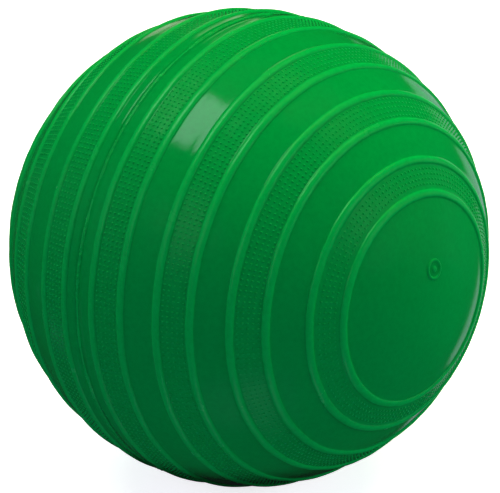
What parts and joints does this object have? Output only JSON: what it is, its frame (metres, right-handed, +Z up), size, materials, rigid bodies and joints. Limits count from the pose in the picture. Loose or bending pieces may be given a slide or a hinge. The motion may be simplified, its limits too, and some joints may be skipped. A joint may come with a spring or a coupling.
{
  "type": "ribbed soft massage ball",
  "caption": "Hand-held soft PVC ball with raised ribs and finely knurled grip bands, a needle valve in the rear pole and a loose mineral filling.",
  "frame": {"origin": "the ball's centre, which is the centre of its box", "axes": "+X along the pole axis, from the centre to the plain front cap; the valve is at the -X pole; +Z up; the weld and the ribs run round X"},
  "size_m": [0.1137, 0.1146, 0.1146],
  "materials": {
    "skin": "satin",
    "weld": "satin",
    "bush": "satin",
    "stopper": "satin",
    "core": "matte",
    "granulate": "matte"
  },
  "bodies": {
    "shell": {"front_half_shell": "skin", "rear_half_shell": "skin", "weld_seam": "weld", "valve_bush": "bush"},
    "stopper": {"valve_stopper": "stopper", "needle_core": "core"},
    "filling": {"granulate_filling": "granulate"}
  },
  "joints": [
    {"name": "stopper_pull", "type": "slide", "parent": "shell", "child": "stopper", "axis": [-1, 0, 0], "range_m": [0, 0.012]},
    {"name": "filling_shift", "type": "hinge", "parent": "shell", "child": "filling", "pos_m": [0, 0, 0], "axis": [1, 0, 0], "continuous": true}
  ]
}
